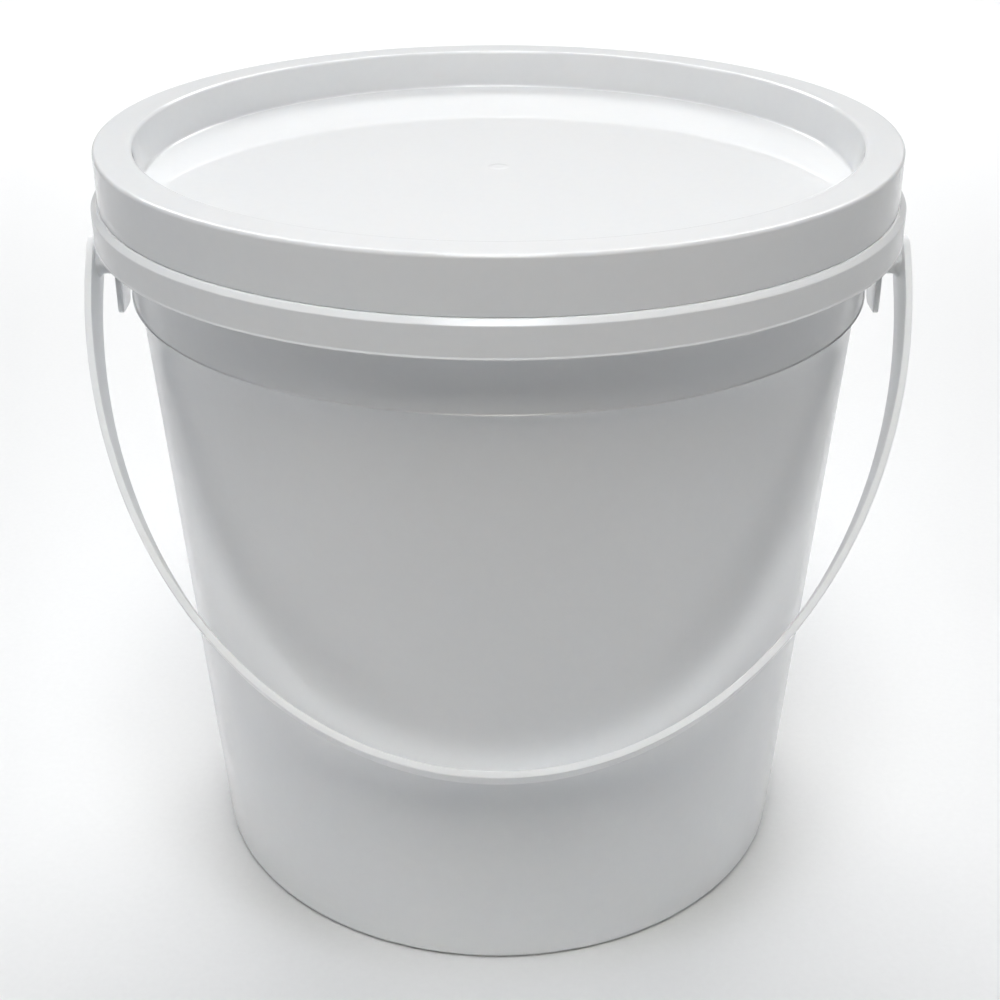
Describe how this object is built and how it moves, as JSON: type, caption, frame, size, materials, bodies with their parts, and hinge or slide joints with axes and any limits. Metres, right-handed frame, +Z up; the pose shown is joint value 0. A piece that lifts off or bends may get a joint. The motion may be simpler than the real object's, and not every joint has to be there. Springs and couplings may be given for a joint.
{
  "type": "plastic fermenting bucket",
  "caption": "Tapered round plastic bucket with a push-on sealing lid, a collar under its rim and a flat moulded bail that swings on side lugs.",
  "frame": {"origin": "middle of the foot's underside, on the bucket's axis", "axes": "+Z up along the bucket's axis, +X along the bail's pivot axis, -Y the front, where the bail rests"},
  "size_m": [0.2142, 0.205, 0.201],
  "materials": {
    "bucket_plastic": "satin white polyolefin, faintly translucent",
    "lid_plastic": "glossy white polyolefin",
    "gasket_rubber": "matt pale elastomer",
    "handle_plastic": "satin white polyolefin"
  },
  "bodies": {
    "bucket": {"bucket": "bucket_plastic"},
    "lid": {"lid": "lid_plastic", "lid_gasket": "gasket_rubber"},
    "handle": {"handle_grip": "handle_plastic", "handle_arm_right": "handle_plastic", "handle_arm_left": "handle_plastic"}
  },
  "joints": [
    {"name": "lid_lift", "type": "slide", "parent": "bucket", "child": "lid", "axis": [0, 0, 1], "range_m": [0, 0.06]},
    {"name": "handle_swing", "type": "hinge", "parent": "bucket", "child": "handle", "pos_m": [0, 0, 0.16545], "axis": [-1, 0, 0], "range_deg": [0, 273.6]}
  ]
}
